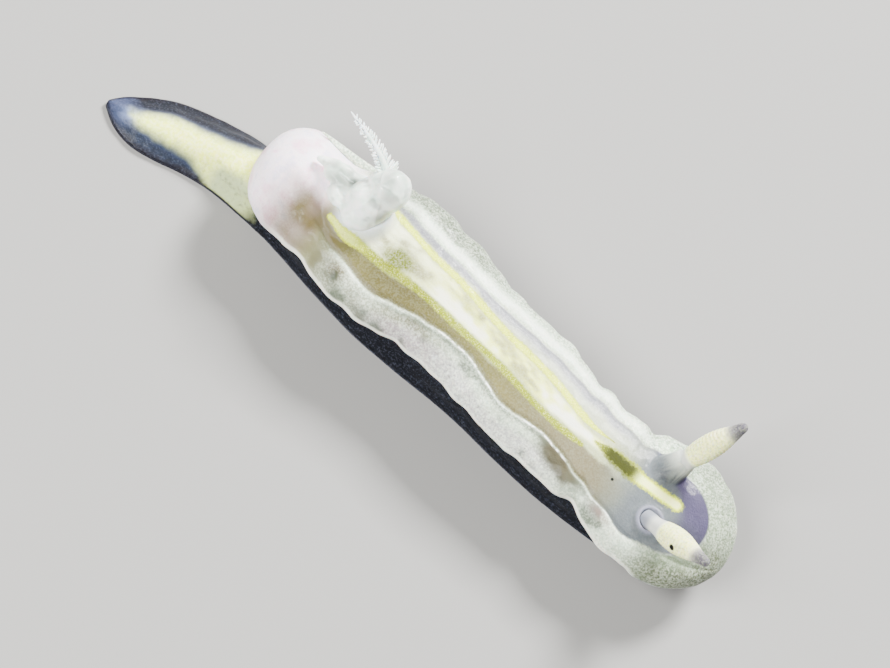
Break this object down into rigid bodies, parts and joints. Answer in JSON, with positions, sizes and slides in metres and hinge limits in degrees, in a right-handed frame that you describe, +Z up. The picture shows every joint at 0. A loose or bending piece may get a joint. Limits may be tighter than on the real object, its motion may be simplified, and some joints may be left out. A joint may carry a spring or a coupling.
{
  "type": "juvenile ceratosoma nudibranch model",
  "caption": "Still, life-size model of a young ceratosoma sea slug crawling, with veil, rhinophores, gill crown, round dorsal horn and tapering tail.",
  "frame": {"origin": "middle of the box's underside, at the level of the sole", "axes": "+X towards the head, +Y to the animal's left, +Z up"},
  "size_m": [0.031, 0.0086, 0.0069],
  "materials": {
    "mantle": "moist milky skin",
    "horn": "moist pinkish white skin",
    "rhinophore": "moist cream skin, clear at the tip",
    "gill": "glassy wet tissue",
    "flank": "moist slate skin",
    "foot": "moist dark slate skin",
    "tail": "moist skin, cream band between slate edges"
  },
  "bodies": {
    "root": {"horn": "horn", "notum_rear": "mantle", "notum_middle": "mantle", "notum_front": "mantle", "veil": "mantle", "rhinophore_left": "rhinophore", "rhinophore_right": "rhinophore", "gill_crown": "gill", "flank_rear": "flank", "flank_middle": "flank", "flank_front": "flank", "head": "flank", "oral_tentacle_left": "flank", "oral_tentacle_right": "flank", "foot_rear": "foot", "foot_middle": "foot", "foot_front": "foot", "tail": "tail"}
  },
  "joints": []
}
